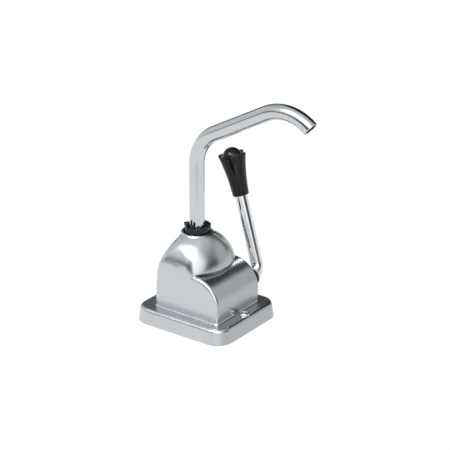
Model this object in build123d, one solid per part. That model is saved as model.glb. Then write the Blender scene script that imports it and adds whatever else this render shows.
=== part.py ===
"""Lever-operated hand water pump with a swivel spout, for a galley or camper sink.

Frame: origin at the centre of the base underside, +Z up, -Y towards the user and
the outlet of the spout, +X towards the lever. All sizes are in millimetres.

How it works: the lever turns a cross shaft. A crank arm on the shaft carries a
pin with two rollers, which slide in the fork of a yoke and so lift a bucket
piston in an upright cylinder. Lifting draws water through the inlet disc valve
and pushes the water above the piston up the spout. On the way down the disc
valve on the piston opens and water passes through the piston.
"""
from build123d import *
import os
from math import cos, sin, radians, sqrt

os.makedirs("parts", exist_ok=True)

# ---------------------------------------------------------------- driving dimensions
# cover
FLANGE_X = 84.0
FLANGE_Y = 93.5
FLANGE_CORNER = 15.0
FLANGE_HEIGHT = 13.0
FLANGE_DRAFT = 8.75
WALL = 2.5
TOWER_HALF_X = 29.4
FRONT_Y = -33.5
BACK_FOOT_Y = 31.6
BARREL_Y = -9.5
BARREL_Z = 25.0
BARREL_R = 24.0
LIP_Z = 50.0
LIP_OVERHANG = 4.4
RIM_Z = 76.0
COLLAR_HOLE_R = 10.8
SIDE_HOLE_R = 6.4

# sections of the tower above the lip: height, half width, back, front, front arc
# radius, back corner radius, front corner radius
TOWER_SECTIONS = (
    (50.0, 29.4, 29.0, -20.6, 38.5, 4.0, 3.0),
    (57.0, 28.1, 27.4, -19.3, 34.3, 6.5, 3.0),
    (64.0, 25.2, 25.3, -15.6, 30.0, 10.0, 3.2),
    (70.5, 20.4, 23.3, -10.7, 22.4, 12.0, 3.6),
    (76.0, 13.4, 22.5, -4.3, 13.6, 12.6, 6.0),
)

# base plate and fastenings
PLATE_GAP = 0.3
PLATE_T = 3.0
COUNTER_HOLE_X = 62.0
COUNTER_HOLE_Y = 71.0
COUNTER_HOLE_R = 2.2
COVER_SCREW_Y = (-39.4, 38.2)
COVER_SCREW_R = 2.0
COVER_SCREW_HEAD_R = 4.3
COVER_SCREW_HEAD_H = 2.6
FOOT_SCREW_X = 22.0
FOOT_SCREW_Y = (-11.0, 19.0)
FOOT_SCREW_R = 1.75

# pump block, cylinder and valves
BORE_Y = 4.0
BORE_R = 17.0
LINER_R = 18.2
BLOCK_R = 20.0
BLOCK_TOP = 22.0
INLET_R = 7.5
INLET_DEPTH = 6.5
WEB_TOP = 9.0
LINER_TOP = 26.5
GASKET_T = 1.0
DECK_HALF_X = 25.3
DECK_FRONT = -30.2
DECK_BACK = 26.0
HEAD_SCREW_X = 22.8
HEAD_SCREW_Y = (-13.5, 4.0, 21.5)
HEAD_SCREW_R = 1.5
VALVE_LIFT = 1.0
VALVE_RING_T = 1.2
GUIDE_RIB_Z = 30.0

# piston, crank and lever
SHAFT_Y = -22.7
SHAFT_Z = 30.0
JOURNAL_R = 3.0
HUB_R = 4.7
CRANK_R = 20.0
PIN_Y = SHAFT_Y + CRANK_R
LEVER_TRAVEL = 36.0
CRANK_PIN_R = 2.0
ROLLER_R = 3.4
SLOT_GAP = 0.3
STROKE = CRANK_R * sin(radians(LEVER_TRAVEL))
PISTON_BOTTOM = 10.2
PISTON_TOP = 15.4
PISTON_R = 16.7
ROD_R = 5.25
LEVER_BEND = 10.0
LEVER_X = 43.8
LEVER_LEAN = 15.9
KNOB_START = 69.2
KNOB_LENGTH = 41.3
KNOB_FOOT_R = 7.0
KNOB_WIDE_R = 12.2
KNOB_WIDE_T = 35.5
KNOB_DOME_R = 8.4
VALLEY_R = 7.5
VALLEY_OUT = 15.63
BOOT_SLEEVE_R = 7.4
BOOT_END_X = 34.4
SLEEVE_START = 6.0
SLEEVE_END = 28.2

# spout
SPOUT_Y = 9.1
TUBE_R = 6.35
TUBE_BORE_R = 5.15
TUBE_FOOT_Z = 58.5
RISER_TOP_Z = 134.4
BEND_1_R = 35.0
ARM_RISE = 28.6
ARM_LENGTH = 56.8
BEND_2_R = 37.7
OUTLET_DROP = 40.0
SOCKET_R = 10.2
SOCKET_TOP = 72.5
COLLAR_TOP = 80.4
COLLAR_R = 10.3
SPOUT_SEAL_Z = (62.0, 67.5)
CLIP_Z = 73.3
COLLAR_TEETH = (
    # direction, width in degrees, top
    (152, 26, 85.0),
    (190, 20, 84.4),
    (345, 28, 82.2),
    (225, 14, 82.4),
    (268, 14, 82.0),
    (312, 34, 82.2),
    (50, 20, 82.2),
    (100, 18, 82.2),
)

FIT = 0.05


# ---------------------------------------------------------------- small helpers
def rod(radius, x, y, z0, z1):
    """An upright cylinder at (x, y) from z0 to z1."""
    return Pos(x, y, (z0 + z1) / 2) * Cylinder(radius, z1 - z0)


def cross_rod(radius, x0, x1):
    """A cylinder along X on the lever shaft's axis, from x0 to x1."""
    return Pos((x0 + x1) / 2, SHAFT_Y, SHAFT_Z) * Rot(0, 90, 0) * Cylinder(radius, x1 - x0)


def block(x0, x1, y0, y1, z0, z1):
    """A box from one corner to the other."""
    return Pos((x0 + x1) / 2, (y0 + y1) / 2, (z0 + z1) / 2) * Box(x1 - x0, y1 - y0, z1 - z0)


def ring(outer, inner, y, z0, z1):
    """An upright tube centred on x = 0."""
    return rod(outer, 0, y, z0, z1) - rod(inner, 0, y, z0 - 1, z1 + 1)


def o_ring(hole_r, section, y, z):
    """A round rubber ring about a vertical axis."""
    return Pos(0, y, z) * Torus(hole_r + section / 2, section / 2)


def save(node, shape):
    """Write one node as its own STEP file."""
    shape.label = node
    export_step(shape, f"parts/{node}.step")


# ---------------------------------------------------------------- cover
def tower_section(row, inset):
    """One level outline of the tower: flat sides, flat back and an arched front."""
    z, half, back, front, arc_r, back_corner, front_corner = row
    half = half - inset
    back = back - inset
    front = front + inset
    arc_r = arc_r - inset
    meet_y = front + arc_r - sqrt(arc_r**2 - half**2)
    outline = Polyline((-half, meet_y), (-half, back), (half, back), (half, meet_y))
    arch = ThreePointArc((half, meet_y), (0, front), (-half, meet_y))
    face = make_face([outline, arch])
    corners = face.vertices().sort_by(Axis.Y)
    face = fillet(corners[-2:], max(back_corner - inset, 1.0))
    corners = face.vertices().sort_by(Axis.Y)
    face = fillet(corners[:2], max(front_corner - inset, 0.8))
    return Pos(0, 0, z) * face


def tower_top(inset, drop):
    """The tower above the lip, smaller all round by inset and lower by drop."""
    solid = loft([Pos(0, 0, -drop) * tower_section(row, inset) for row in TOWER_SECTIONS])
    if inset:
        solid &= block(-40, 40, -40, 40, LIP_Z + 1.6, RIM_Z)
    return solid


def side_profile(inset):
    """The tower and barrel below the lip, seen from the side."""
    r = BARREL_R - inset
    top = BARREL_Z + r
    start = (FRONT_Y + inset, FLANGE_HEIGHT - 4)
    front = Line(start, (FRONT_Y + inset, BARREL_Z))
    middle = (BARREL_Y - r * sin(radians(45)), BARREL_Z + r * cos(radians(45)))
    barrel = ThreePointArc(front @ 1, middle, (BARREL_Y, BARREL_Z + r))
    rest = Polyline(
        barrel @ 1,
        (29.2 - inset, top),
        (BACK_FOOT_Y - 0.3 - inset, 27.0),
        (BACK_FOOT_Y - inset, start[1]),
        start,
    )
    return make_face([front, barrel, rest])


def tower_bottom(inset):
    """The lower tower with its barrel front, between the two flat sides."""
    half = TOWER_HALF_X - inset
    return Pos(-half, 0, 0) * extrude(Plane.YZ * side_profile(inset), 2 * half, dir=(1, 0, 0))


def lip_neck(inset):
    """The recessed wall under the lip, which leaves a shadow gap above the barrel."""
    row = list(TOWER_SECTIONS[0])
    row[0] = LIP_Z - 8
    row[3] += LIP_OVERHANG
    row[4] -= LIP_OVERHANG
    return extrude(tower_section(row, inset), 10, dir=(0, 0, 1))


def shoulder(inset):
    """The full-width wall behind the lip, between the barrel's top and the tower."""
    wall = extrude(tower_section(TOWER_SECTIONS[0], inset), 6, dir=(0, 0, -1))
    return wall & block(-40, 40, BARREL_Y + inset, 40, LIP_Z - 5, LIP_Z + 1)


def flange(inset):
    """The drafted rounded base, smaller all round by inset."""
    plan = RectangleRounded(FLANGE_X - 2 * inset, FLANGE_Y - 2 * inset, FLANGE_CORNER - inset)
    return extrude(plan, FLANGE_HEIGHT - inset, taper=FLANGE_DRAFT)


def cover():
    """The one-piece chromed cover: flange, barrel front and tower."""
    outer = tower_bottom(0) + shoulder(0) + lip_neck(0) + tower_top(0, 0) + flange(0)
    inner = tower_bottom(WALL) + lip_neck(WALL) + tower_top(WALL, WALL) + flange(WALL)
    shell = outer - inner
    shell -= rod(COLLAR_HOLE_R, 0, SPOUT_Y, RIM_Z - 8, RIM_Z + 1)
    shell -= cross_rod(SIDE_HOLE_R, TOWER_HALF_X - 6, TOWER_HALF_X + 1)
    for y in COVER_SCREW_Y:
        shell -= rod(COVER_SCREW_R + 0.3, 0, y, FLANGE_HEIGHT - 4, FLANGE_HEIGHT + 1)
    return shell


def cover_screws():
    """Two pan-head cross-recess screws through the flange."""
    screws = []
    for y in COVER_SCREW_Y:
        head = rod(COVER_SCREW_HEAD_R, 0, y, FLANGE_HEIGHT, FLANGE_HEIGHT + COVER_SCREW_HEAD_H)
        head = fillet(head.faces().sort_by(Axis.Z)[-1].edges(), 1.8)
        for turn in (0, 90):
            slot = Pos(0, y, FLANGE_HEIGHT + COVER_SCREW_HEAD_H) * Rot(0, 0, turn) * Box(4.6, 1.0, 2.4)
            head -= slot
        screws.append(head + rod(COVER_SCREW_R, 0, y, PLATE_T + 1 + FIT, FLANGE_HEIGHT))
    return Compound(children=screws)


# ---------------------------------------------------------------- base plate
def foot_points():
    return [(sx * FOOT_SCREW_X, y) for sx in (-1, 1) for y in FOOT_SCREW_Y]


def base_plate():
    """The plate inside the flange that the cover and the pump block screw to."""
    inset = WALL + PLATE_GAP
    plan = RectangleRounded(FLANGE_X - 2 * inset, FLANGE_Y - 2 * inset, FLANGE_CORNER - inset)
    plate = extrude(plan, PLATE_T, taper=FLANGE_DRAFT)
    plate -= rod(BLOCK_R + 0.4, 0, BORE_Y, -1, PLATE_T + 1)
    for y in COVER_SCREW_Y:
        plate += rod(3.0, 0, y, PLATE_T, FLANGE_HEIGHT - WALL)
        plate -= rod(COVER_SCREW_R + FIT, 0, y, PLATE_T + 1, FLANGE_HEIGHT)
    for sx in (-1, 1):
        for sy in (-1, 1):
            plate -= rod(COUNTER_HOLE_R, sx * COUNTER_HOLE_X / 2, sy * COUNTER_HOLE_Y / 2, -1, PLATE_T + 1)
    for x, y in foot_points():
        plate -= rod(FOOT_SCREW_R + 0.2, x, y, -1, PLATE_T + 1)
        plate -= Pos(x, y, 0.9) * Cone(3.5, FOOT_SCREW_R + 0.2, 1.8)
    return plate


def block_screws():
    """Four countersunk screws from below, through the base plate into the block."""
    screws = []
    for x, y in foot_points():
        head = Pos(x, y, 1.0) * Cone(3.2, FOOT_SCREW_R, 1.6)
        screws.append(head + rod(FOOT_SCREW_R, x, y, 1.8, 7.5))
    return Compound(children=screws)


# ---------------------------------------------------------------- pump block and head
def deck_plan(z0, z1):
    """The flange shape shared by the block, the gasket and the head."""
    plan = Pos(0, (DECK_FRONT + DECK_BACK) / 2) * RectangleRounded(
        2 * DECK_HALF_X, DECK_BACK - DECK_FRONT, 3.0)
    return Pos(0, 0, z0) * extrude(plan, z1 - z0)


def deck_screw_points():
    return [(sx * HEAD_SCREW_X, y) for sx in (-1, 1) for y in HEAD_SCREW_Y]


def ports(count, hole_r, circle_r, z0, z1):
    """Round water ports in a ring about the cylinder's axis."""
    holes = []
    for i in range(count):
        angle = radians(360 * i / count)
        holes.append(rod(hole_r, circle_r * cos(angle), BORE_Y + circle_r * sin(angle), z0, z1))
    return holes


def pump_block():
    """The lower casting: inlet port, valve seat, cylinder housing and deck."""
    foot = Pos(0, BORE_Y, PLATE_T) * extrude(RectangleRounded(52, 39, 5), 5)
    body = rod(BLOCK_R, 0, BORE_Y, 0, BLOCK_TOP) + foot + deck_plan(BLOCK_TOP - 3.5, BLOCK_TOP)
    body -= rod(LINER_R + FIT, 0, BORE_Y, WEB_TOP, BLOCK_TOP + 1)
    body -= rod(INLET_R, 0, BORE_Y, -1, INLET_DEPTH)
    for hole in ports(6, 1.5, 4.4, 0, WEB_TOP + 1):
        body -= hole
    body -= rod(1.4, 0, BORE_Y, 0, WEB_TOP + 1)
    body -= rod(2.4, 0, BORE_Y, 0, WEB_TOP - 0.9)
    for x, y in foot_points():
        body -= rod(FOOT_SCREW_R, x, y, PLATE_T - 1, 7.5)
    for x, y in deck_screw_points():
        body -= rod(HEAD_SCREW_R, x, y, BLOCK_TOP - 4, BLOCK_TOP + 1)
    return body


def cylinder_liner():
    """The thin tube that the piston runs in."""
    return ring(LINER_R, BORE_R, BORE_Y, WEB_TOP, LINER_TOP)


def inlet_valve():
    """A disc valve with a guide stem that snaps through the seat."""
    disc = rod(6.8, 0, BORE_Y, WEB_TOP, WEB_TOP + 1)
    stem = rod(1.2, 0, BORE_Y, INLET_DEPTH, WEB_TOP)
    barb = rod(1.9, 0, BORE_Y, INLET_DEPTH, INLET_DEPTH + 0.6)
    return disc + stem + barb


def head_gasket():
    """The flat rubber seal between the block and the head."""
    seal = deck_plan(BLOCK_TOP, BLOCK_TOP + GASKET_T)
    seal -= rod(LINER_R + 0.3, 0, BORE_Y, BLOCK_TOP - 1, BLOCK_TOP + 2)
    for x, y in deck_screw_points():
        seal -= rod(HEAD_SCREW_R + 0.1, x, y, BLOCK_TOP - 1, BLOCK_TOP + 2)
    return seal


def chamber(inset, bottom, top):
    """The crank chamber's solid, inside the cover, smaller all round by inset."""
    r = BARREL_R - WALL - 0.6 - inset
    front = -29.9 + inset
    start_z = BARREL_Z + sqrt(r**2 - (front - BARREL_Y)**2)
    end_y = -13.0 + inset
    end_z = BARREL_Z + sqrt(r**2 - (end_y - BARREL_Y)**2)
    middle_z = BARREL_Z + sqrt(r**2 - (SHAFT_Y - BARREL_Y)**2)
    arc = ThreePointArc((front, start_z), (SHAFT_Y, middle_z), (end_y, end_z))
    rest = Polyline(
        (end_y, end_z),
        (end_y, top),
        (22.5 - inset, top),
        (25.0 - inset, LIP_Z - 4),
        (25.4 - inset, bottom),
        (front, bottom),
        (front, start_z),
    )
    half = 20.2 - inset
    solid = Pos(-half, 0, 0) * extrude(Plane.YZ * make_face([arc, rest]), 2 * half, dir=(1, 0, 0))
    clear = WALL + 0.7 + inset
    upper = tower_top(clear, clear) + lip_neck(clear)
    return solid & (upper + block(-40, 40, -40, 40, 0, LIP_Z - 6))


def pump_head():
    """The upper casting: crank chamber, shaft bearings, yoke guides and spout socket."""
    deck_z = BLOCK_TOP + GASKET_T
    head = deck_plan(deck_z, deck_z + 2.5) + chamber(0, deck_z, 60.0)
    head += cross_rod(6.6, 15, 24) + cross_rod(6.6, -23.5, -15)
    head += rod(SOCKET_R, 0, SPOUT_Y, 55, SOCKET_TOP)
    head -= chamber(1.6, deck_z - 1, 58.0)
    for side in (-1, 1):
        for y0 in (0.9, 6.8):
            x0, x1 = sorted((side * 7.2, side * 19))
            head += block(x0, x1, y0, y0 + 2.2, GUIDE_RIB_Z, 56)
    head -= cross_rod(5.2, 14, 25) + cross_rod(5.2, -22, -14)
    head -= cross_rod(ROD_R + 0.6, 24.0, 27)
    head -= rod(TUBE_R + 0.1, 0, SPOUT_Y, 50, SOCKET_TOP + 1)
    for z in SPOUT_SEAL_Z:
        head -= rod(8.2, 0, SPOUT_Y, z - 1.1, z + 1.1)
    for x, y in deck_screw_points():
        head -= rod(HEAD_SCREW_R + 0.2, x, y, deck_z - 1, deck_z + 4)
    return head




def head_screws():
    """Six pan-head screws that clamp the head, gasket and block."""
    top = BLOCK_TOP + GASKET_T + 2.5
    screws = []
    for x, y in deck_screw_points():
        screws.append(rod(2.5, x, y, top, top + 2) + rod(HEAD_SCREW_R, x, y, BLOCK_TOP - 3.4, top))
    return Compound(children=screws)


def bush(x0, x1):
    """A plain bearing for the lever shaft."""
    return cross_rod(5.2, x0, x1) - cross_rod(JOURNAL_R + FIT, x0 - 1, x1 + 1)


def shaft_seal():
    """The rubber ring that keeps water in where the shaft leaves the head."""
    spin = Pos(22.0, SHAFT_Y, SHAFT_Z) * Rot(0, 90, 0)
    return spin * Torus(JOURNAL_R + FIT + 1.0, 1.0)


# ---------------------------------------------------------------- piston group
def piston():
    """The bucket piston: two rims with a seal groove between them, and water ports."""
    body = rod(PISTON_R, 0, BORE_Y, PISTON_BOTTOM, PISTON_TOP)
    body -= ring(PISTON_R + 1, 13.0, BORE_Y, PISTON_BOTTOM + 1.1, PISTON_TOP - 1.3)
    body -= rod(7.0, 0, BORE_Y, PISTON_BOTTOM - 1, PISTON_BOTTOM + VALVE_LIFT)
    body -= rod(3.4, 0, BORE_Y, PISTON_BOTTOM, PISTON_BOTTOM + 2.6)
    body -= rod(HEAD_SCREW_R, 0, BORE_Y, PISTON_BOTTOM, PISTON_TOP + 1)
    for hole in ports(8, 1.4, 8.5, PISTON_BOTTOM - 1, PISTON_TOP + 1):
        body -= hole
    return body


def piston_seal():
    """The lipped cup seal in the piston's groove."""
    z0 = PISTON_BOTTOM + 1.2
    seal = ring(BORE_R - FIT, 13.05, BORE_Y, z0, z0 + 2.6)
    return seal - ring(15.6, 14.3, BORE_Y, z0 + 1.2, z0 + 3)


def piston_valve():
    """The ring-shaped disc valve that lies on the piston's ports."""
    return ring(11.5, 4.8, BORE_Y, PISTON_TOP, PISTON_TOP + VALVE_RING_T)


def yoke():
    """The fork that the crank rollers slide in, with its stem and guide tongues."""
    slot_half = ROLLER_R + SLOT_GAP
    mid = SHAFT_Z + 0.155
    low = mid - slot_half - 2.2
    high = mid + slot_half + 2.2
    body = block(-6.6, 6.6, -10.4, 8.6, low, high)
    body -= block(-3.6, 3.6, -12, 1.4, low - 1, high + 1)
    body -= block(-8, 8, -12, 1.4, mid - slot_half, mid + slot_half)
    for side in (-1, 1):
        body += block(min(side * 6.6, side * 9.4), max(side * 6.6, side * 9.4), 3.4, 6.5, low, high)
    body += rod(4.5, 0, BORE_Y, PISTON_TOP, low + 1)
    body += ring(7.0, 4.4, BORE_Y, PISTON_TOP + VALVE_RING_T + VALVE_LIFT + 0.2, PISTON_TOP + 4.5)
    return body - rod(HEAD_SCREW_R, 0, BORE_Y, PISTON_TOP - 1, PISTON_TOP + 8)


def piston_screw():
    """The screw that holds the piston to the yoke's stem."""
    head = rod(3.0, 0, BORE_Y, PISTON_BOTTOM + VALVE_LIFT, PISTON_BOTTOM + 2.6)
    return head + rod(HEAD_SCREW_R, 0, BORE_Y, PISTON_BOTTOM + 2.6, PISTON_TOP + 8)


# ---------------------------------------------------------------- crank and lever


def pin_rod(radius, x0, x1):
    """A cylinder along X on the crank pin's axis."""
    return Pos((x0 + x1) / 2, PIN_Y, SHAFT_Z) * Rot(0, 90, 0) * Cylinder(radius, x1 - x0)


def crank_arm():
    """The arm that turns with the shaft and carries the crank pin."""
    arm = block(-3, 3, SHAFT_Y, PIN_Y, SHAFT_Z - 2.7, SHAFT_Z + 2.7)
    arm += cross_rod(HUB_R, -6, 6) + pin_rod(3.6, -3, 3)
    arm -= cross_rod(JOURNAL_R + 0.02, -7, 7)
    arm -= pin_rod(CRANK_PIN_R + 0.02, -4, 4)
    return arm - rod(1.02, 4.5, SHAFT_Y, SHAFT_Z - 6, SHAFT_Z + 6)


def roll_pin():
    """The spring pin that locks the crank arm to the shaft."""
    return rod(1.0, 4.5, SHAFT_Y, SHAFT_Z - 4.5, SHAFT_Z + 4.5)


def crank_pin():
    """The pin through the crank arm's eye."""
    return pin_rod(CRANK_PIN_R, -7.6, 7.6)


def crank_rollers():
    """Two rollers on the crank pin, one in each side of the fork."""
    rollers = []
    for x0, x1 in ((-6.8, -3.8), (3.8, 6.8)):
        rollers.append(pin_rod(ROLLER_R, x0, x1) - pin_rod(CRANK_PIN_R + 0.02, x0 - 1, x1 + 1))
    return Compound(children=rollers)


def leg_plane():
    """The plane of the bent lever: local X along the shaft, local Y up the leg."""
    leg = (0, sin(radians(LEVER_LEAN)), cos(radians(LEVER_LEAN)))
    normal = (0, -leg[2], leg[1])
    return Plane(origin=(0, SHAFT_Y, SHAFT_Z), x_dir=(1, 0, 0), z_dir=normal)


def on_leg(shape, t):
    """Put an upright shape on the lever's leg, t along it from the shaft's axis."""
    return leg_plane() * Pos(LEVER_X, t, 0) * Rot(-90, 0, 0) * shape


def lever_rod():
    """The lever: a plated rod, turned down to a journal at its inner end and bent up."""
    stub = Line((24.3, 0), (LEVER_X - LEVER_BEND, 0))
    bend = JernArc(stub @ 1, stub % 1, LEVER_BEND, 90)
    leg = Line(bend @ 1, (LEVER_X, KNOB_START + 27))
    path = leg_plane() * Wire([stub, bend, leg])
    start = Plane(origin=(24.3, SHAFT_Y, SHAFT_Z), z_dir=(1, 0, 0))
    bar = sweep(start * Circle(ROD_R), path=path)
    bar += cross_rod(JOURNAL_R, -21, 25)
    return bar - rod(1.02, 4.5, SHAFT_Y, SHAFT_Z - 6, SHAFT_Z + 6)


def lever_boot():
    """The rubber grommet that closes the cover's side hole round the lever."""
    boot = cross_rod(8.8, TOWER_HALF_X, TOWER_HALF_X + 3.2)
    boot = fillet(boot.edges().sort_by(Axis.X)[-1], 1.2)
    boot += cross_rod(BOOT_SLEEVE_R, TOWER_HALF_X + 2, BOOT_END_X)
    boot += cross_rod(SIDE_HOLE_R - FIT, TOWER_HALF_X - WALL, TOWER_HALF_X)
    boot += cross_rod(7.1, TOWER_HALF_X - WALL - 1.2, TOWER_HALF_X - WALL)
    return boot - cross_rod(ROD_R + 0.08, 20, 40)


def knob():
    """The moulded grip: slim at the rod, flaring to four lobes round a domed end."""
    socket_r = ROD_R + FIT
    sleeve_r = socket_r + 1.2
    middle = ((KNOB_FOOT_R + KNOB_WIDE_R) / 2 - 0.9, KNOB_WIDE_T / 2)
    dome_t = KNOB_LENGTH - KNOB_DOME_R
    dome_foot_r = sqrt(KNOB_DOME_R**2 - (KNOB_WIDE_T - dome_t) ** 2)
    dome_middle = (KNOB_DOME_R * sin(radians(45)), dome_t + KNOB_DOME_R * cos(radians(45)))
    mouth = Line((socket_r, 0), (KNOB_FOOT_R, 0))
    flare = ThreePointArc((KNOB_FOOT_R, 0), middle, (KNOB_WIDE_R, KNOB_WIDE_T))
    shelf = Line((KNOB_WIDE_R, KNOB_WIDE_T), (dome_foot_r, KNOB_WIDE_T))
    dome = ThreePointArc((dome_foot_r, KNOB_WIDE_T), dome_middle, (0, KNOB_LENGTH))
    inside = Polyline(
        (0, KNOB_LENGTH),
        (0, SLEEVE_END),
        (sleeve_r, SLEEVE_END),
        (sleeve_r, SLEEVE_START),
        (socket_r, SLEEVE_START),
        (socket_r, 0),
    )
    grip = revolve(Plane.XZ * make_face([mouth, flare, shelf, dome, inside]), Axis.Z)
    star = Circle(KNOB_WIDE_R + 1)
    for i in range(4):
        star -= Rot(0, 0, 90 * i + 45) * Pos(VALLEY_OUT, 0) * Circle(VALLEY_R)
    return on_leg(grip & extrude(star, KNOB_LENGTH + 2, dir=(0, 0, 1)), KNOB_START)


def knob_insert():
    """The metal sleeve moulded into the knob, which grips the end of the lever."""
    sleeve = rod(ROD_R + 1.2, 0, 0, SLEEVE_START, SLEEVE_END)
    sleeve -= rod(ROD_R + 0.02, 0, 0, SLEEVE_START - 1, SLEEVE_END - 1.1)
    return on_leg(sleeve, KNOB_START)


# ---------------------------------------------------------------- spout
def spout_path():
    """The tube's centre line, in the plane x = 0: riser, bend, arm and outlet bend."""
    riser = Line((SPOUT_Y, TUBE_FOOT_Z), (SPOUT_Y, RISER_TOP_Z))
    bend_1 = JernArc(riser @ 1, riser % 1, BEND_1_R, 90 - ARM_RISE)
    arm_end = bend_1 @ 1 + (bend_1 % 1) * ARM_LENGTH
    arm = Line(bend_1 @ 1, arm_end)
    bend_2 = JernArc(arm @ 1, arm % 1, BEND_2_R, ARM_RISE + OUTLET_DROP)
    return Plane.YZ * Wire([riser, bend_1, arm, bend_2])




def spout_tube():
    """The bent spout, with a groove for its retaining ring."""
    path = spout_path()
    start = Plane(origin=(0, SPOUT_Y, TUBE_FOOT_Z), z_dir=(0, 0, 1))
    tube = sweep(start * Circle(TUBE_R), path=path) - sweep(start * Circle(TUBE_BORE_R), path=path)
    return tube - ring(TUBE_R + 1, TUBE_R - 0.5, SPOUT_Y, CLIP_Z - 0.5, CLIP_Z + 0.5)


def spout_ring():
    """The retaining ring in the tube's groove, held down by the collar."""
    return ring(7.8, TUBE_R - 0.45, SPOUT_Y, CLIP_Z - 0.45, CLIP_Z + 0.45)


def spout_seals():
    """Two rubber rings that seal the tube in its socket."""
    return Compound(children=[o_ring(TUBE_R + FIT, 1.7, SPOUT_Y, z) for z in SPOUT_SEAL_Z])


def sector(angle, width):
    """An upright wedge about the spout's axis, used to cut the collar's teeth."""
    reach = 20
    half = radians(width / 2)
    a = radians(angle)
    left = (reach * cos(a - half), reach * sin(a - half))
    right = (reach * cos(a + half), reach * sin(a + half))
    return make_face(Polyline((0, 0), left, right, (0, 0)))


def spout_collar():
    """The black castellated collar round the foot of the spout."""
    collar = ring(COLLAR_R, TUBE_R + 0.3, SPOUT_Y, CLIP_Z + 0.9, COLLAR_TOP)
    collar += ring(COLLAR_R, 8.2, SPOUT_Y, SOCKET_TOP, COLLAR_TOP)
    for angle, width, top in COLLAR_TEETH:
        wedge = Pos(0, SPOUT_Y, COLLAR_TOP - 1) * extrude(sector(angle, width), top - COLLAR_TOP + 1)
        collar += ring(COLLAR_R, 8.0, SPOUT_Y, COLLAR_TOP - 1, top) & wedge
    return collar


# ---------------------------------------------------------------- write every node
NODES = {
    "chrome_cover": cover,
    "cover_screws": cover_screws,
    "base_plate": base_plate,
    "block_screws": block_screws,
    "pump_block": pump_block,
    "cylinder_liner": cylinder_liner,
    "inlet_valve_disc": inlet_valve,
    "head_gasket": head_gasket,
    "pump_head": pump_head,
    "head_screws": head_screws,
    "lever_side_bush": lambda: bush(17.6, 20.8),
    "far_side_bush": lambda: bush(-21.8, -17.6),
    "shaft_seal_ring": shaft_seal,
    "seal_washer": lambda: bush(23.2, 24.0),
    "piston": piston,
    "piston_seal": piston_seal,
    "piston_valve_ring": piston_valve,
    "piston_yoke": yoke,
    "piston_screw": piston_screw,
    "crank_arm": crank_arm,
    "crank_roll_pin": roll_pin,
    "crank_pin": crank_pin,
    "crank_rollers": crank_rollers,
    "lever_rod": lever_rod,
    "lever_boot": lever_boot,
    "lever_knob": knob,
    "knob_insert": knob_insert,
    "spout_tube": spout_tube,
    "spout_retaining_ring": spout_ring,
    "spout_seal_rings": spout_seals,
    "spout_collar": spout_collar,
}

for node, make in NODES.items():
    save(node, make())
print(f"stroke {STROKE:.2f} mm, slide per radian {STROKE / radians(LEVER_TRAVEL):.3f} mm")
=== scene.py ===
import math

import bpy
import numpy as np
from mathutils import Matrix, Vector


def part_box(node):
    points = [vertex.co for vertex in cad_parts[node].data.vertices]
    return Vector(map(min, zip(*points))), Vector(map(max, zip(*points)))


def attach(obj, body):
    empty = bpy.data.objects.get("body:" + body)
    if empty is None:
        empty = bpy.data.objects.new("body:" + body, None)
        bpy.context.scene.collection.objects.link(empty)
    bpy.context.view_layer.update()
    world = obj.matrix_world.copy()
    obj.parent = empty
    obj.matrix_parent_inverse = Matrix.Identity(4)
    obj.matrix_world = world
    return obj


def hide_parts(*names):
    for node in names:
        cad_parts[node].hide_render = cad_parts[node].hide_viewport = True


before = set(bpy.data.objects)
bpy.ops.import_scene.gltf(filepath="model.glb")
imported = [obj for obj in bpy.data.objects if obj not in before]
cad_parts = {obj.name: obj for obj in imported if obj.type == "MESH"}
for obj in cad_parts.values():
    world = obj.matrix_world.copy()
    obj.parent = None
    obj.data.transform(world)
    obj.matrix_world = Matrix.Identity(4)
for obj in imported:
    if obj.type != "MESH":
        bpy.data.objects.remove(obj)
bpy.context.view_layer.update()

MM = 0.001

# ---------------------------------------------------------------- dimensions, in millimetres
FLANGE_X = 84.0
FLANGE_Y = 93.5
FLANGE_CORNER = 15.0
FLANGE_HEIGHT = 13.0
DRAFT = math.radians(8.75)
WALL = 2.5
TOWER_HALF_X = 29.4
PANEL_R = 32.5
PANEL_Z = 48.0
BARREL_Y = -9.5
BARREL_Z = 25.0
BARREL_R = 24.0
LIP_Z = 50.0
LIP_OVERHANG = 4.4
RIM_Z = 76.0
# level, front, front radius, back corner and front corner of the tower above the lip
TOWER_LEVELS = (50.0, 57.0, 64.0, 70.5, 76.0)
TOWER_FRONT = (-20.6, -19.3, -15.6, -10.7, -4.3)
TOWER_ARC = (38.5, 34.3, 30.0, 22.4, 13.6)
TOWER_BACK_CORNER = (4.0, 6.5, 10.0, 12.0, 12.6)
TOWER_FRONT_CORNER = (2.6, 2.6, 2.8, 3.2, 5.0)
COLLAR_HOLE_R = 10.8
SIDE_HOLE_R = 6.4
COVER_SCREW_Y = (-39.4, 38.2)
SCREW_HEAD_R = 4.3
SCREW_HOLE_R = 2.3
CROSS_HALF_WIDTH = 0.62
CROSS_HALF_LENGTH = 2.35
SHAFT_Y = -22.7
SHAFT_Z = 30.0
ROD_R = 5.25
JOURNAL_R = 3.0
LEVER_X = 43.8
LEVER_BEND = 10.0
LEVER_LEAN = math.radians(15.9)
LEVER_END = 96.2
KNOB_START = 69.2
KNOB_LENGTH = 41.3
KNOB_FOOT_R = 7.0
KNOB_FLARE = 6.3
KNOB_FLARE_T = 35.5
KNOB_LOBE_TOP = 35.9
KNOB_DOME_R = 8.1
VALLEY_OUT = 11.25
VALLEY_R = 8.0
SPOUT_Y = 9.1
TUBE_R = 6.35
TUBE_BORE_R = 5.15
TUBE_FOOT_Z = 58.5
RISER_TOP_Z = 134.4
BEND_1_R = 35.0
ARM_ANGLE = 61.4
ARM_LENGTH = 56.8
BEND_2_R = 37.7
OUTLET_ANGLE = 130.0
CLIP_Z = 73.3
COLLAR_R = 10.3
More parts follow.
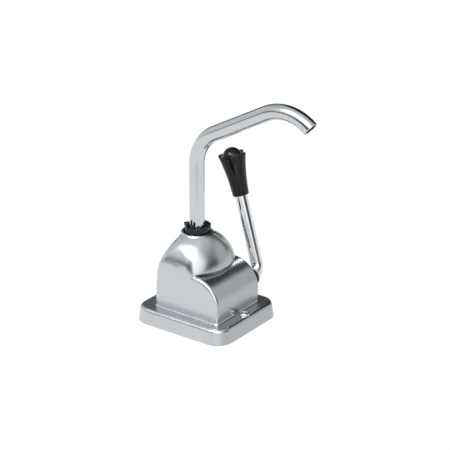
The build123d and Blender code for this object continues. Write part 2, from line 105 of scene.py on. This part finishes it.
COLLAR_FOOT = 72.5
COLLAR_SHELF = 74.2
COLLAR_TOP = 80.4
BOOT_END_X = 34.4


# ---------------------------------------------------------------- shape fields
# A field is negative inside the shape and positive outside, in millimetres.
def both(a, b, r):
    """Where two shapes overlap, with the edge between them rounded to r."""
    inner = np.minimum(np.maximum(a, b), -r)
    return inner + np.hypot(np.maximum(a + r, 0), np.maximum(b + r, 0))


def either(a, b, r):
    """Two shapes joined, with a fillet of r between them."""
    return -both(-a, -b, r)


def without(a, b, r):
    """The first shape with the second cut away."""
    return both(a, -b, r)


def between(value, low, high, r):
    """A slab from low to high."""
    return both(value - high, low - value, r)


def along(z, values):
    """A smooth curve through the tower's values, read at height z."""
    return np.polyval(np.polyfit(TOWER_LEVELS, values, 3), np.clip(z, 46, 78))


def side_wall(x, z):
    return np.hypot(np.abs(x) + PANEL_R - TOWER_HALF_X, np.maximum(z - PANEL_Z, 0)) - PANEL_R


def back_wall(y, z):
    rise = np.maximum(z - FLANGE_HEIGHT, 0)
    drop = 0.00125 * rise**2 + 0.0000235 * rise**3
    return y - np.maximum(31.6 - drop, 22.5)


def front_arch(x, y, z):
    """The arched front of the tower above the lip."""
    radius = along(z, TOWER_ARC)
    front = along(z, TOWER_FRONT)
    slope = along(z + 0.5, TOWER_FRONT) - along(z - 0.5, TOWER_FRONT)
    away = np.hypot(x, np.minimum(y - front - radius, 0)) - radius
    return away / np.sqrt(1 + slope**2)


def rounded_plate(x, y, half_x, half_y, corner):
    dx = np.abs(x) - half_x + corner
    dy = np.abs(y) - half_y + corner
    outside = np.hypot(np.maximum(dx, 0), np.maximum(dy, 0))
    return outside + np.minimum(np.maximum(dx, dy), 0) - corner


def cover_skin(x, y, z):
    """The outside of the cover."""
    side = side_wall(x, z)
    back = back_wall(y, z)
    arch = front_arch(x, y, z)
    sides = both(side, back, along(z, TOWER_BACK_CORNER))
    corner = along(z, TOWER_FRONT_CORNER)
    tower = both(arch, sides, corner)
    cone = both(both(tower, z - RIM_Z, 0.9), LIP_Z - z, 0.9)
    band = between(z, LIP_Z - 10, LIP_Z + 6, 0.5)
    neck = both(both(arch + LIP_OVERHANG, sides, corner), band, 0.5)
    shoulder = both(both(tower, BARREL_Y - y, 0.8), band, 0.5)
    barrel = np.hypot(np.minimum(y - BARREL_Y, 0), np.maximum(z - BARREL_Z, 0)) - BARREL_R
    lower = both(barrel, sides, 3.0)
    bead = np.hypot(np.hypot(x, y - SPOUT_Y) - 12.2, z - RIM_Z + 1.0) - 1.2
    shrink = np.tan(DRAFT) * np.minimum(z, FLANGE_HEIGHT)
    plan = rounded_plate(x, y, FLANGE_X / 2 - shrink, FLANGE_Y / 2 - shrink, FLANGE_CORNER - shrink)
    foot = both(plan * np.cos(DRAFT), z - FLANGE_HEIGHT, 2.2)
    skin = either(np.minimum(lower, shoulder), neck, 0.7)
    skin = np.minimum(skin, cone)
    skin = either(skin, bead, 0.5)
    return either(skin, foot, 1.3)


def cover_field(x, y, z):
    """The hollow cover with its holes."""
    skin = cover_skin(x, y, z)
    shell = both(both(skin, -skin - WALL, 0.3), -z, 0.5)
    collar_hole = np.maximum(np.hypot(x, y - SPOUT_Y) - COLLAR_HOLE_R, 60 - z)
    side_hole = np.maximum(np.hypot(y - SHAFT_Y, z - SHAFT_Z) - SIDE_HOLE_R, 20 - x)
    shell = without(without(shell, collar_hole, 0.7), side_hole, 0.4)
    for screw_y in COVER_SCREW_Y:
        screw_hole = np.maximum(np.hypot(x, y - screw_y) - SCREW_HOLE_R, 5 - z)
        shell = without(shell, screw_hole, 0.4)
    return shell


def screw_field(x, y, z):
    """A pan-head screw with a cross recess, its head's underside at z = 0."""
    r = np.hypot(x, y)
    head = both(both(r - SCREW_HEAD_R, np.hypot(r, z + 4.9) - 7.5, 0.7), -z, 0.25)
    taper = 0.18 * (z - 2.6)
    wide = CROSS_HALF_WIDTH + taper
    long = CROSS_HALF_LENGTH + taper
    slot_a = np.maximum(np.abs(x) - wide, np.abs(y) - long)
    slot_b = np.maximum(np.abs(y) - wide, np.abs(x) - long)
    cross = np.maximum(either(slot_a, slot_b, 0.4), 0.9 - z)
    thread = r - 1.95 + 0.12 * np.cos(2 * np.pi * z / 1.1)
    shank = both(both(thread, z - 0.5, 0.1), -SCREW_LENGTH - z, 0.5)
    return either(without(head, cross, 0.15), shank, 0.2)


def knob_field(x, y, t):
    """The fluted grip, upright, t measured up from its foot."""
    radius = KNOB_FOOT_R + KNOB_FLARE * np.clip(t / KNOB_FLARE_T, 0, 1.1) ** 1.7
    r = np.hypot(x, y)
    grip = (r - radius) * 0.97
    for sx in (-1, 1):
        for sy in (-1, 1):
            valley = np.hypot(x - VALLEY_OUT * sx, y - VALLEY_OUT * sy) - VALLEY_R
            grip = without(grip, valley, 1.0)
    grip = both(grip, t - KNOB_LOBE_TOP, 1.4)
    dome = np.hypot(r, t - KNOB_LENGTH + KNOB_DOME_R) - KNOB_DOME_R
    grip = either(grip, dome, 0.9)
    grip = both(grip, -t, 0.8)
    bore = np.maximum(r - ROD_R - 0.05, np.abs(t) - 10)
    sleeve = np.maximum(r - ROD_R - 1.2, np.abs(t - 17.1) - 11.1)
    return without(without(grip, bore, 0.3), sleeve, 0.1)


def tooth(x, y, z, angle, width, top, splay):
    """One upright lug of the collar, leaning outward by splay."""
    a = math.radians(angle)
    out = x * math.cos(a) + (y - SPOUT_Y) * math.sin(a) - splay * np.maximum(z - COLLAR_TOP, 0)
    across = -x * math.sin(a) + (y - SPOUT_Y) * math.cos(a)
    half = 9.2 * math.radians(width / 2)
    lug = both(np.abs(across) - half, between(out, 7.7, COLLAR_R, 0.6), 0.6)
    return both(lug, between(z, COLLAR_TOP - 2, top, 0.7), 0.7)


def collar_field(x, y, z):
    """The castellated collar round the foot of the spout."""
    r = np.hypot(x, y - SPOUT_Y)
    shelf = between(z, COLLAR_SHELF, COLLAR_TOP, 0.5)
    body = both(between(r, TUBE_R + 0.3, COLLAR_R, 0.4), shelf, 0.5)
    skirt = both(between(r, 8.2, COLLAR_R, 0.3), between(z, COLLAR_FOOT, COLLAR_TOP, 0.4), 0.4)
    collar = np.minimum(body, skirt)
    for lug in (
        # angle, width in degrees, top, splay
        (152, 30, 85.0, 0.22),
        (190, 22, 84.4, 0.10),
        (345, 30, 82.2, 0.30),
        (228, 20, 81.6, 0.0),
        (270, 18, 81.4, 0.0),
        (50, 22, 82.2, 0.0),
        (100, 18, 82.2, 0.0),
    ):
        collar = either(collar, tooth(x, y, z, *lug), 0.4)
    a = math.radians(312)
    out = x * math.cos(a) + (y - SPOUT_Y) * math.sin(a) - 9.3
    across = -x * math.sin(a) + (y - SPOUT_Y) * math.cos(a)
    oval = np.hypot(across / 3.9, out / 2.1)
    loop = both((oval - 1) * 2.1, between(z, COLLAR_TOP - 1.5, 82.2, 0.5), 0.5)
    hole = np.maximum((np.hypot(across / 2.5, out / 0.95) - 1) * 0.95, COLLAR_TOP - z)
    return either(collar, without(loop, hole, 0.3), 0.3)


def boot_field(x, y, z):
    """The grommet round the lever at the cover's side."""
    r = np.hypot(y - SHAFT_Y, z - SHAFT_Z)
    lip = both(r - 8.8, between(x, TOWER_HALF_X, TOWER_HALF_X + 3.2, 0.3), 0.3)
    lip = both(lip, np.hypot(np.maximum(r - 5, 0), x - TOWER_HALF_X + 1.2) - 4.4, 0.5)
    sleeve = both(r - 7.4, between(x, TOWER_HALF_X + 1, BOOT_END_X, 0.6), 0.6)
    neck = both(r - 6.3, between(x, TOWER_HALF_X - 3.2, TOWER_HALF_X + 1, 0.2), 0.2)
    inner = both(r - 7.05, between(x, TOWER_HALF_X - 3.7, TOWER_HALF_X - 2.5, 0.2), 0.2)
    lip = either(lip, sleeve, 0.4)
    boot = np.minimum(np.minimum(lip, neck), inner)
    return without(boot, r - ROD_R - 0.06, 0.3)


# ---------------------------------------------------------------- meshes
def new_object(name, points, faces, normals=None):
    """A smooth-shaded mesh object from points in millimetres."""
    mesh = bpy.data.meshes.new(name)
    mesh.from_pydata((points * MM).tolist(), [], faces)
    mesh.update()
    mesh.shade_smooth()
    if normals is None:
        mesh.set_sharp_from_angle(angle=math.radians(38))
    else:
        mesh.normals_split_custom_set_from_vertices(normals.tolist())
    made = bpy.data.objects.new(name, mesh)
    bpy.context.scene.collection.objects.link(made)
    return made


def slope_of(field, points, reach=0.02):
    """The field's gradient at each point."""
    parts = []
    for axis in range(3):
        step = np.zeros(3)
        step[axis] = reach
        ahead = field(*(points + step).T)
        behind = field(*(points - step).T)
        parts.append((ahead - behind) / (2 * reach))
    return np.stack(parts, axis=1)


def carve(name, field, low, high, step, place=None):
    """A mesh of the field's surface, built on a grid and then drawn onto the exact surface."""
    ranges = [np.arange(a - 1.5 * step, b + 1.6 * step, step) for a, b in zip(low, high)]
    grid = np.meshgrid(*ranges, indexing="ij")
    value = field(*grid)
    size = np.array(value.shape) - 1
    corners = [(i, j, k) for i in (0, 1) for j in (0, 1) for k in (0, 1)]

    def at(corner):
        i, j, k = corner
        return value[i : i + size[0], j : j + size[1], k : k + size[2]]

    below = sum((at(c) < 0).astype(np.int8) for c in corners)
    cells = np.argwhere((below > 0) & (below < 8))
    number = -np.ones(size, int)
    number[tuple(cells.T)] = np.arange(len(cells))
    total = np.zeros((len(cells), 3))
    count = np.zeros(len(cells))
    for a in corners:
        for b in corners:
            if sum(b) - sum(a) != 1 or sum(abs(p - q) for p, q in zip(a, b)) != 1:
                continue
            va = value[tuple((cells + a).T)]
            vb = value[tuple((cells + b).T)]
            crossing = (va < 0) != (vb < 0)
            share = np.where(crossing, va / np.where(crossing, va - vb, 1), 0)
            spot = np.array(a) + share[:, None] * (np.array(b) - np.array(a))
            total += np.where(crossing[:, None], spot, 0)
            count += crossing
    start = np.array([r[0] for r in ranges])
    points = start + (cells + total / count[:, None]) * step
    faces = []
    for axis in range(3):
        second = (axis + 1) % 3
        third = (axis + 2) % 3
        here = [slice(1, -1)] * 3
        there = [slice(1, -1)] * 3
        here[axis] = slice(0, -1)
        there[axis] = slice(1, None)
        first_in = value[tuple(here)] < 0
        next_in = value[tuple(there)] < 0
        for leaving in (True, False):
            found = np.argwhere((first_in != next_in) & (first_in == leaving))
            offset = np.array([1, 1, 1])
            offset[axis] = 0
            found = found + offset
            ring = []
            for ds, dt in ((-1, -1), (0, -1), (0, 0), (-1, 0)):
                cell = found.copy()
                cell[:, second] += ds
                cell[:, third] += dt
                ring.append(number[tuple(cell.T)])
            quad = np.stack(ring if leaving else ring[::-1], axis=1)
            faces.append(quad)
    faces = np.concatenate(faces)
    for _ in range(6):
        slope = slope_of(field, points)
        steep = np.maximum((slope**2).sum(1), 0.2)
        move = slope * (field(*points.T) / steep)[:, None]
        length = np.linalg.norm(move, axis=1)
        points = points - move * np.minimum(1, 0.5 * step / np.maximum(length, 1e-9))[:, None]
    normals = slope_of(field, points, reach=0.06)
    normals /= np.maximum(np.linalg.norm(normals, axis=1), 1e-9)[:, None]
    if place is not None:
        turn = np.array(place.to_3x3())
        points = points @ turn.T + np.array(place.translation)
        normals = normals @ turn.T
    return new_object(name, points, faces.tolist(), normals)


def line_run(start, end, count):
    """Points and tangents along a straight run in a plane."""
    start = np.array(start, float)
    end = np.array(end, float)
    heading = (end - start) / np.linalg.norm(end - start)
    return [(start + (end - start) * i / count, heading) for i in range(count + 1)]


def arc_run(centre, radius, first, last, count):
    """Points and tangents along an arc, anticlockwise, angles in degrees."""
    run = []
    for i in range(count + 1):
        a = math.radians(first + (last - first) * i / count)
        spot = np.array(centre) + radius * np.array([math.cos(a), math.sin(a)])
        run.append((spot, np.array([-math.sin(a), math.cos(a)])))
    return run


def pipe(name, rings, plane, sides, closed):
    """A swept round body. Each ring is (point, tangent, radius) in the plane."""
    origin, across, up = (np.array(v, float) for v in plane)
    normal = np.cross(across, up)
    turn = np.linspace(0, 2 * math.pi, sides, endpoint=False)
    points = []
    for spot, heading, radius in rings:
        centre = origin + spot[0] * across + spot[1] * up
        forward = heading[0] * across + heading[1] * up
        other = np.cross(forward, normal)
        circle = np.outer(np.cos(turn), normal) + np.outer(np.sin(turn), other)
        points.append(centre + radius * circle)
    points = np.concatenate(points)
    count = len(rings)
    faces = []
    for i in range(count if closed else count - 1):
        a = i * sides
        b = (i + 1) % count * sides
        for j in range(sides):
            k = (j + 1) % sides
            faces.append((a + j, b + j, b + k, a + k))
    if not closed:
        ends = []
        for spot, _, _ in (rings[0], rings[-1]):
            ends.append(origin + spot[0] * across + spot[1] * up)
        tip = len(points)
        last = (count - 1) * sides
        points = np.concatenate([points, np.array(ends)])
        for j in range(sides):
            k = (j + 1) % sides
            faces.append((tip, j, k))
            faces.append((tip + 1, last + k, last + j))
    return new_object(name, points, faces)


def spout_rings():
    """The spout's skin, its square-cut end and its bore, as one closed run of rings."""
    riser = line_run((SPOUT_Y, TUBE_FOOT_Z), (SPOUT_Y, RISER_TOP_Z), 60)
    bend_1 = arc_run((SPOUT_Y - BEND_1_R, RISER_TOP_Z), BEND_1_R, 0, ARM_ANGLE, 60)
    arm_start, heading = bend_1[-1]
    arm_end = arm_start + heading * ARM_LENGTH
    arm = line_run(arm_start, arm_end, 30)
    inward = np.array([-heading[1], heading[0]])
    bend_2 = arc_run(arm_end + inward * BEND_2_R, BEND_2_R, ARM_ANGLE, OUTLET_ANGLE, 72)
    path = riser + bend_1[1:] + arm[1:] + bend_2[1:]
    end, out = path[-1]
    skin = []
    for spot, forward in path[:-1]:
        in_groove = abs(spot[1] - CLIP_Z) < 0.7 and spot[0] > 0
        skin.append((spot, forward, TUBE_R - 0.5 if in_groove else TUBE_R))
    mouth = []
    for back, radius in (
        (0.3, TUBE_R),
        (0.09, TUBE_R - 0.06),
        (0.0, TUBE_R - 0.23),
        (0.0, TUBE_BORE_R + 0.25),
        (0.09, TUBE_BORE_R + 0.07),
        (0.3, TUBE_BORE_R),
    ):
        mouth.append((end - out * back, out, radius))
    bore = [(spot, forward, TUBE_BORE_R) for spot, forward in path[-2::-1]]
    return skin + mouth + bore


def lever_rings():
    """The lever: journal, step, bend and leg, with eased ends."""
    rings = []
    for x, radius in (
        (-21.0, JOURNAL_R - 0.5),
        (-20.5, JOURNAL_R),
        (1.0, JOURNAL_R),
        (24.1, JOURNAL_R),
        (24.3, JOURNAL_R + 0.2),
        (24.3, ROD_R - 0.35),
        (24.7, ROD_R),
    ):
        rings.append((np.array([x, 0.0]), np.array([1.0, 0.0]), radius))
    stub = line_run((25.5, 0), (LEVER_X - LEVER_BEND, 0), 8)
    bend = arc_run((LEVER_X - LEVER_BEND, LEVER_BEND), LEVER_BEND, -90, 0, 40)
    leg = line_run((LEVER_X, LEVER_BEND), (LEVER_X, LEVER_END - 0.5), 40)
    for spot, forward in stub + bend[1:] + leg[1:]:
        rings.append((spot, forward, ROD_R))
    rings.append((np.array([LEVER_X, LEVER_END]), np.array([0.0, 1.0]), ROD_R - 0.5))
    return rings


# ---------------------------------------------------------------- finishes
def finish(name, colour, metal, rough, spread, bump, size, tint, specular=0.3, front=1.0):
    """A procedural finish: drifting colour, uneven gloss, fine relief, faint rub marks, and painted
    shade that scales the base colour down to front on faces turned toward -Y.
    """
    made = bpy.data.materials.new(name)
    made.use_nodes = True
    tree = made.node_tree
    nodes = tree.nodes
    links = tree.links
    shader = nodes["Principled BSDF"]
    shader.inputs["Metallic"].default_value = metal
    shader.inputs["Specular IOR Level"].default_value = specular
    place = nodes.new("ShaderNodeTexCoord")

    drift = nodes.new("ShaderNodeTexNoise")
    drift.inputs["Scale"].default_value = size * 0.25
    drift.inputs["Detail"].default_value = 4
    links.new(place.outputs["Object"], drift.inputs["Vector"])
    mix = nodes.new("ShaderNodeMix")
    mix.data_type = "RGBA"
    mix.inputs["A"].default_value = (*colour, 1)
    mix.inputs["B"].default_value = (*[c * t for c, t in zip(colour, tint)], 1)
    links.new(drift.outputs["Fac"], mix.inputs["Factor"])
    # Painted shade: faces turned toward -Y get a darker base colour, down to front times the colour
    # where the normal's y reaches -0.95.
    face = nodes.new("ShaderNodeSeparateXYZ")
    links.new(place.outputs["Normal"], face.inputs["Vector"])
    painted_front_shade = nodes.new("ShaderNodeMapRange")
    painted_front_shade.interpolation_type = "SMOOTHSTEP"
    painted_front_shade.inputs["From Min"].default_value = -0.45
    painted_front_shade.inputs["From Max"].default_value = -0.95
    painted_front_shade.inputs["To Min"].default_value = 1.0
    painted_front_shade.inputs["To Max"].default_value = front
    links.new(face.outputs["Y"], painted_front_shade.inputs["Value"])
    colour_with_painted_shade = nodes.new("ShaderNodeVectorMath")
    colour_with_painted_shade.operation = "SCALE"
    links.new(mix.outputs["Result"], colour_with_painted_shade.inputs[0])
    links.new(painted_front_shade.outputs["Result"], colour_with_painted_shade.inputs["Scale"])
    links.new(colour_with_painted_shade.outputs["Vector"], shader.inputs["Base Color"])

    smear = nodes.new("ShaderNodeMapping")
    smear.inputs["Scale"].default_value = (1.0, 1.0, 0.12)
    links.new(place.outputs["Object"], smear.inputs["Vector"])
    rub = nodes.new("ShaderNodeTexNoise")
    rub.inputs["Scale"].default_value = size
    rub.inputs["Detail"].default_value = 8
    rub.inputs["Roughness"].default_value = 0.7
    links.new(smear.outputs["Vector"], rub.inputs["Vector"])
    gloss = nodes.new("ShaderNodeMapRange")
    gloss.inputs["From Min"].default_value = 0.35
    gloss.inputs["From Max"].default_value = 0.75
    gloss.inputs["To Min"].default_value = rough
    gloss.inputs["To Max"].default_value = rough + spread
    links.new(rub.outputs["Fac"], gloss.inputs["Value"])
    links.new(gloss.outputs["Result"], shader.inputs["Roughness"])

    grain = nodes.new("ShaderNodeTexNoise")
    grain.inputs["Scale"].default_value = size * 2
    grain.inputs["Detail"].default_value = 3
    links.new(place.outputs["Object"], grain.inputs["Vector"])
    relief = nodes.new("ShaderNodeBump")
    relief.inputs["Strength"].default_value = bump
    relief.inputs["Distance"].default_value = 0.0002
    links.new(grain.outputs["Fac"], relief.inputs["Height"])
    links.new(relief.outputs["Normal"], shader.inputs["Normal"])
    return made


# colour, metal, rough, spread, bump, size, tint, then specular and front (the painted shade on
# faces turned toward -Y) where they differ
FINISH_VALUES = {
    # The cover's last value, 0.72, is painted shade: its faces turned toward -Y keep only 0.72 of
    # their base colour.
    "chromed_cover": (
        (0.60, 0.62, 0.635), 1.0, 0.23, 0.06, 0.004, 60,
        (0.90, 0.93, 0.96), 0.5, 0.72,
    ),
    "chromed_tube": ((0.60, 0.62, 0.63), 1.0, 0.15, 0.05, 0.004, 70, (0.94, 0.95, 0.97)),
    "chromed_rod": ((0.72, 0.725, 0.73), 1.0, 0.10, 0.04, 0.004, 80, (0.94, 0.95, 0.97)),
    "screw_steel": ((0.72, 0.73, 0.74), 1.0, 0.22, 0.16, 0.12, 220, (0.85, 0.86, 0.88)),
    "liner_steel": ((0.60, 0.61, 0.62), 1.0, 0.25, 0.15, 0.15, 260, (0.85, 0.86, 0.87)),
    "bronze": ((0.72, 0.50, 0.26), 1.0, 0.28, 0.18, 0.15, 260, (0.80, 0.72, 0.65)),
    "knob_plastic": ((0.005, 0.005, 0.006), 0.0, 0.05, 0.03, 0.003, 120, (1.5, 1.5, 1.6), 0.25),
    "black_plastic": ((0.006, 0.006, 0.007), 0.0, 0.28, 0.15, 0.10, 300, (1.6, 1.6, 1.6)),
    "pump_plastic": ((0.05, 0.05, 0.055), 0.0, 0.42, 0.20, 0.30, 320, (1.5, 1.5, 1.5)),
    "valve_plastic": ((0.82, 0.81, 0.77), 0.0, 0.35, 0.20, 0.15, 200, (0.92, 0.91, 0.88)),
    "rubber": ((0.007, 0.007, 0.007), 0.0, 0.45, 0.25, 0.30, 350, (1.8, 1.8, 1.8)),
}
FINISHES = {slot: finish(slot, *values) for slot, values in FINISH_VALUES.items()}

NODE_SLOTS = {
    "base_plate": "pump_plastic",
    "block_screws": "screw_steel",
    "pump_block": "pump_plastic",
    "cylinder_liner": "liner_steel",
    "head_gasket": "rubber",
    "pump_head": "pump_plastic",
    "head_screws": "screw_steel",
    "lever_side_bush": "bronze",
    "far_side_bush": "bronze",
    "shaft_seal_ring": "rubber",
    "seal_washer": "liner_steel",
    "spout_seal_rings": "rubber",
    "knob_insert": "bronze",
    "crank_arm": "liner_steel",
    "crank_roll_pin": "screw_steel",
    "crank_pin": "liner_steel",
    "crank_rollers": "valve_plastic",
    "piston": "valve_plastic",
    "piston_seal": "rubber",
    "piston_yoke": "pump_plastic",
    "piston_screw": "screw_steel",
    "piston_valve_ring": "valve_plastic",
    "inlet_valve_disc": "valve_plastic",
    "spout_retaining_ring": "screw_steel",
}


def dress(made, slot):
    """Give a piece its finish and its material slot."""
    made.data.materials.clear()
    made.data.materials.append(FINISHES[slot])


def piece(made, body, slot, *nodes):
    """Put a new piece on its body in place of its CAD nodes."""
    dress(made, slot)
    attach(made, body)
    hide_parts(*nodes)


for node, slot_name in NODE_SLOTS.items():
    dress(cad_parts[node], slot_name)

# ---------------------------------------------------------------- the pieces
cover = carve("cover_shell", cover_field, (-42, -46.8, 0), (42, 46.8, 76.4), 0.8)
piece(cover, "pump_body", "chromed_cover", "chrome_cover")

SCREW_LENGTH = FLANGE_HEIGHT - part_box("cover_screws")[0].z / MM
seats = ("cover_screw_front", "cover_screw_rear")
for seat_name, seat_y, twist in zip(seats, COVER_SCREW_Y, (20, 65)):
    turned = Matrix.Rotation(math.radians(twist), 4, "Z")
    seat = Matrix.Translation((0, seat_y, FLANGE_HEIGHT)) @ turned
    screw = carve(seat_name, screw_field, (-4.4, -4.4, -SCREW_LENGTH), (4.4, 4.4, 2.7), 0.28, seat)
    piece(screw, "pump_body", "screw_steel", "cover_screws")

tube = pipe("spout_pipe", spout_rings(), ((0, 0, 0), (0, 1, 0), (0, 0, 1)), 96, True)
piece(tube, "spout", "chromed_tube", "spout_tube")

collar = carve("collar_ring", collar_field, (-12.8, -3.6, 72.4), (12.8, 21.8, 87.4), 0.32)
piece(collar, "pump_body", "black_plastic", "spout_collar")

leg_up = (0, math.sin(LEVER_LEAN), math.cos(LEVER_LEAN))
lever_plane = ((0, SHAFT_Y, SHAFT_Z), (1, 0, 0), leg_up)
lever = pipe("lever_bar", lever_rings(), lever_plane, 96, False)
piece(lever, "lever", "chromed_rod", "lever_rod")

grip_foot = Vector((LEVER_X, SHAFT_Y, SHAFT_Z)) + KNOB_START * Vector(leg_up)
grip_place = Matrix.Translation(grip_foot) @ Matrix.Rotation(-LEVER_LEAN, 4, "X")
grip_low = (-13.6, -13.6, 0)
grip_high = (13.6, 13.6, KNOB_LENGTH)
grip = carve("grip_knob", knob_field, grip_low, grip_high, 0.42, grip_place)
piece(grip, "lever", "knob_plastic", "lever_knob")

boot = carve("lever_grommet", boot_field, (25.5, -32, 21), (34.6, -13.5, 39), 0.35)
piece(boot, "pump_body", "rubber", "lever_boot")


# ---------------------------------------------------------------- studio
def direction_of(tree, centre):
    """How closely the direction looked along agrees with centre: 1 when it is the same."""
    where = tree.nodes.new("ShaderNodeTexCoord")
    agree = tree.nodes.new("ShaderNodeVectorMath")
    agree.operation = "DOT_PRODUCT"
    agree.inputs[1].default_value = Vector(centre).normalized()
    tree.links.new(where.outputs["Generated"], agree.inputs[0])
    return agree.outputs["Value"]


def soft_step(tree, value, low, high, start, end):
    """A smooth change from start to end as the value goes from low to high."""
    step = tree.nodes.new("ShaderNodeMapRange")
    step.interpolation_type = "SMOOTHSTEP"
    step.inputs["From Min"].default_value = low
    step.inputs["From Max"].default_value = high
    step.inputs["To Min"].default_value = start
    step.inputs["To Max"].default_value = end
    tree.links.new(value, step.inputs["Value"])
    return step.outputs["Result"]


# The pale floor, with a soft grey patch between the object and the camera, below the
# frame, for the plating to reflect.
FLOOR_PATCH = (-0.44, -0.33, 0.0)
floor_mesh = bpy.data.meshes.new("floor")
floor_mesh.from_pydata([(-7, -7, 0), (7, -7, 0), (7, 7, 0), (-7, 7, 0)], [], [(0, 1, 2, 3)])
floor = bpy.data.objects.new("floor", floor_mesh)
bpy.context.scene.collection.objects.link(floor)
floor_look = bpy.data.materials.new("floor")
floor_look.use_nodes = True
floor_tree = floor_look.node_tree
floor_tree.nodes.remove(floor_tree.nodes["Principled BSDF"])
floor_glow = floor_tree.nodes.new("ShaderNodeEmission")
floor_place = floor_tree.nodes.new("ShaderNodeTexCoord")
floor_reach = floor_tree.nodes.new("ShaderNodeVectorMath")
floor_reach.operation = "DISTANCE"
floor_reach.inputs[1].default_value = FLOOR_PATCH
floor_tree.links.new(floor_place.outputs["Object"], floor_reach.inputs[0])
floor_level = soft_step(floor_tree, floor_reach.outputs["Value"], 0.05, 0.34, 0.55, 1.02)
floor_tree.links.new(floor_level, floor_glow.inputs["Strength"])
floor_surface = floor_tree.nodes["Material Output"].inputs["Surface"]
floor_tree.links.new(floor_glow.outputs["Emission"], floor_surface)
floor_mesh.materials.append(floor_look)

# The room: soft bands by height, with pale and dark screens for the plating to reflect.
world = bpy.data.worlds.new("studio")
bpy.context.scene.world = world
world.use_nodes = True
room = world.node_tree
height = direction_of(room, (0, 0, 1))
bands = room.nodes.new("ShaderNodeValToRGB")
room.links.new(height, bands.inputs["Fac"])
ramp = bands.color_ramp
ramp.elements[0].position = 0.0
ramp.elements[0].color = (0.30, 0.31, 0.32, 1)
ramp.elements[1].position = 1.0
ramp.elements[1].color = (0.80, 0.81, 0.82, 1)
for spot, level in ((0.03, 0.04), (0.22, 0.04), (0.40, 0.27), (0.60, 0.40), (0.80, 0.75)):
    stop = ramp.elements.new(spot)
    stop.color = (level * 0.92, level * 0.97, level, 1)
colour = bands.outputs["Color"]
SCREENS = (
    # direction, cosine where it starts, cosine where it is full, level
    ((0.75, 0.12, 0.65), 0.82, 0.94, 0.015),
    ((0.72, -0.66, 0.26), 0.86, 0.97, 0.80),
    ((-0.67, -0.66, 0.38), 0.78, 0.95, 1.70),
    ((-0.66, 0.49, 0.58), 0.86, 0.95, 0.85),
    ((-0.15, 0.93, 0.26), 0.80, 0.93, 0.80),
    ((-0.54, -0.28, 0.80), 0.965, 0.980, 4.5),
    ((-0.58, 0.16, 0.80), 0.965, 0.980, 4.5),
)
for towards, edge, full, level in SCREENS:
    screen = room.nodes.new("ShaderNodeMix")
    screen.data_type = "RGBA"
    screen.inputs["B"].default_value = (level * 0.97, level * 0.99, level, 1)
    share = soft_step(room, direction_of(room, towards), edge, full, 0, 1)
    room.links.new(share, screen.inputs["Factor"])
    room.links.new(colour, screen.inputs["A"])
    colour = screen.outputs["Result"]
room.links.new(colour, room.nodes["Background"].inputs["Color"])


def lamp(name, centre, aim, size, power):
    data = bpy.data.lights.new(name, "AREA")
    data.shape = "RECTANGLE"
    data.size = size[0]
    data.size_y = size[1]
    data.energy = power
    made = bpy.data.objects.new(name, data)
    bpy.context.scene.collection.objects.link(made)
    made.location = centre
    made.rotation_mode = "QUATERNION"
    made.rotation_quaternion = (Vector(aim) - Vector(centre)).to_track_quat("-Z", "Y")
    return made


lamp("window_left", (-0.74, 0.36, 1.03), (0, 0, 0.12), (0.34, 0.50), 3.2)
lamp("window_right", (-0.82, -0.08, 1.03), (0, 0, 0.12), (0.34, 0.50), 3.2)

# ---------------------------------------------------------------- camera
VIEW_AZ = math.radians(-53.02)
VIEW_EL = math.radians(24.54)
VIEW_DISTANCE = 1.5
VIEW_CENTRE = Vector((0, 0, 0.040))
VIEW_AIM = Vector((0.0227, -0.0027, 0.0761))
toward = Vector(
    (
        math.sin(VIEW_AZ) * math.cos(VIEW_EL),
        -math.cos(VIEW_AZ) * math.cos(VIEW_EL),
        math.sin(VIEW_EL),
    )
)
camera = bpy.data.objects.new("camera", bpy.data.cameras.new("camera"))
bpy.context.scene.collection.objects.link(camera)
camera.data.sensor_width = 36.0
camera.data.lens = 144.6
camera.location = VIEW_CENTRE + toward * VIEW_DISTANCE
camera.rotation_mode = "QUATERNION"
camera.rotation_quaternion = (VIEW_AIM - camera.location).to_track_quat("-Z", "Y")
bpy.context.scene.camera = camera
bpy.context.scene.view_settings.view_transform = "Standard"
